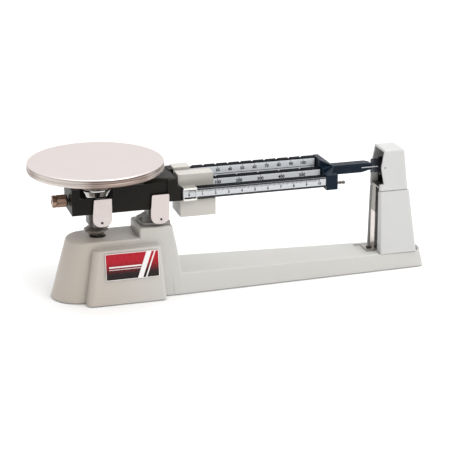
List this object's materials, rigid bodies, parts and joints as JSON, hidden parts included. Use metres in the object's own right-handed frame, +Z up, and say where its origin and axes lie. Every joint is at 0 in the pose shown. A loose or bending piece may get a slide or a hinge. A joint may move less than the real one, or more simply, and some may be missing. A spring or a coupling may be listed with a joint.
{
  "type": "triple beam balance",
  "caption": "Triple beam balance with a round stainless pan on a levelled bow, stepped graduated beams with sliding poises, knife-edge pivots and a magnetically damped tower.",
  "frame": {"origin": "centre of the whole balance's footprint box, at table level", "axes": "+X from the pan towards the damper tower, +Y to the rear, +Z up"},
  "size_m": [0.4628, 0.1524, 0.1565],
  "materials": {
    "base_paint": "semi-gloss warm light grey enamel, fine orange peel",
    "tower_paint": "smooth satin light grey moulding",
    "label_print": "printed plate, red fading to black with plain white bands",
    "foot_rubber": "matt black rubber",
    "dark_steel": "blackened screw",
    "bright_sheet": "bright zinc-plated sheet",
    "bright_steel": "ground steel",
    "yoke_iron": "dull iron",
    "magnet": "sintered magnet, dull grey",
    "stand_black": "dark grey wrinkle paint",
    "guard_black": "dark rubber with a scalloped rim",
    "cover_satin": "satin plate",
    "agate": "polished stone bearing",
    "beam_black": "black anodised casting with satin sheen",
    "nose_black": "blue-black satin casting",
    "scale_face": "pale blue-grey anodised scale with black figures",
    "pointer_white": "white index line",
    "vane_metal": "bright vane",
    "hub_chrome": "polished",
    "pan_stainless": "satin stainless top, polished rolled rim",
    "socket_metal": "turned socket",
    "knob_brass": "nickel over brass, knurled",
    "clip_bright": "bright clip",
    "poise_grey": "light grey satin plated weight"
  },
  "bodies": {
    "base": {"pedestal": "base_paint", "pedestal_step": "base_paint", "label_block": "base_paint", "base_bar": "base_paint", "label_plate": "label_print", "rubber_foot_1": "foot_rubber", "rubber_foot_2": "foot_rubber", "rubber_foot_3": "foot_rubber", "rubber_foot_4": "foot_rubber", "tower": "tower_paint", "tower_cap": "tower_paint", "damper_bracket": "bright_sheet", "damper_screw": "dark_steel", "magnet_yoke": "yoke_iron", "damper_magnet_front": "magnet", "damper_magnet_rear": "magnet", "fulcrum_stand": "stand_black", "stand_screw_left": "dark_steel", "stand_screw_right": "dark_steel", "link_bracket": "bright_sheet", "link_pin": "bright_steel", "fulcrum_cover_front": "cover_satin", "fulcrum_cover_rear": "cover_satin", "fulcrum_cover_screw_front": "dark_steel", "fulcrum_cover_screw_rear": "dark_steel", "fulcrum_bearing_front": "agate", "fulcrum_bearing_rear": "agate"},
    "beam": {"beam_head": "beam_black", "beam_bar_front": "beam_black", "beam_bar_middle": "beam_black", "beam_bar_rear": "beam_black", "scale_front": "scale_face", "scale_middle": "scale_face", "scale_rear": "scale_face", "beam_nose": "nose_black", "pointer": "pointer_white", "damping_vane": "vane_metal", "weight_peg": "bright_steel", "fulcrum_knife": "bright_steel", "load_knife": "bright_steel", "zero_stud": "bright_steel", "zero_spring": "bright_steel"},
    "bow": {"bow_frame": "stand_black", "stem_guard": "guard_black", "stem_pin": "bright_steel", "pan_hub": "hub_chrome", "bow_cover_front": "cover_satin", "bow_cover_rear": "cover_satin", "bow_cover_screw_front": "dark_steel", "bow_cover_screw_rear": "dark_steel", "load_bearing_front": "agate", "load_bearing_rear": "agate"},
    "pan": {"pan": "pan_stainless", "pan_socket": "socket_metal"},
    "check_link": {"check_link": "bright_sheet"},
    "zero_slider": {"zero_washer": "bright_steel"},
    "zero_knob": {"zero_knob": "knob_brass"},
    "poise_front": {"poise_front": "clip_bright"},
    "poise_middle": {"poise_middle": "poise_grey"},
    "poise_rear": {"poise_rear": "poise_grey"}
  },
  "joints": [
    {"name": "beam_tilt", "type": "hinge", "parent": "base", "child": "beam", "pos_m": [-0.0872, 0, 0.112], "axis": [0, 1, 0], "range_deg": [-2, 2]},
    {"name": "bow_level", "type": "hinge", "parent": "beam", "child": "bow", "pos_m": [-0.1552, 0, 0.112], "axis": [0, 1, 0], "range_deg": [-2.2, 2.2]},
    {"name": "check_link_swing", "type": "hinge", "parent": "base", "child": "check_link", "pos_m": [-0.0872, 0, 0.04], "axis": [0, 1, 0], "range_deg": [-2.2, 2.2]},
    {"name": "pan_lift", "type": "slide", "parent": "bow", "child": "pan", "axis": [0, 0, 1], "range_m": [0, 0.04]},
    {"name": "front_poise_travel", "type": "slide", "parent": "beam", "child": "poise_front", "axis": [1, 0, 0], "range_m": [0, 0.1535]},
    {"name": "middle_poise_travel", "type": "slide", "parent": "beam", "child": "poise_middle", "axis": [1, 0, 0], "range_m": [0, 0.126]},
    {"name": "rear_poise_travel", "type": "slide", "parent": "beam", "child": "poise_rear", "axis": [1, 0, 0], "range_m": [0, 0.147]},
    {"name": "zero_travel", "type": "slide", "parent": "beam", "child": "zero_slider", "axis": [1, 0, 0], "range_m": [-0.00215, 0.0009]},
    {"name": "zero_turn", "type": "hinge", "parent": "zero_slider", "child": "zero_knob", "pos_m": [-0.2057, 0, 0.113], "axis": [1, 0, 0], "range_deg": [-1080, 432]}
  ],
  "couplings": [
    {"joint": "bow_level", "follows": "beam_tilt", "ratio": -1},
    {"joint": "check_link_swing", "follows": "beam_tilt", "ratio": 1},
    {"joint": "zero_travel", "follows": "zero_turn", "m_per_rad": 0.00011141}
  ]
}
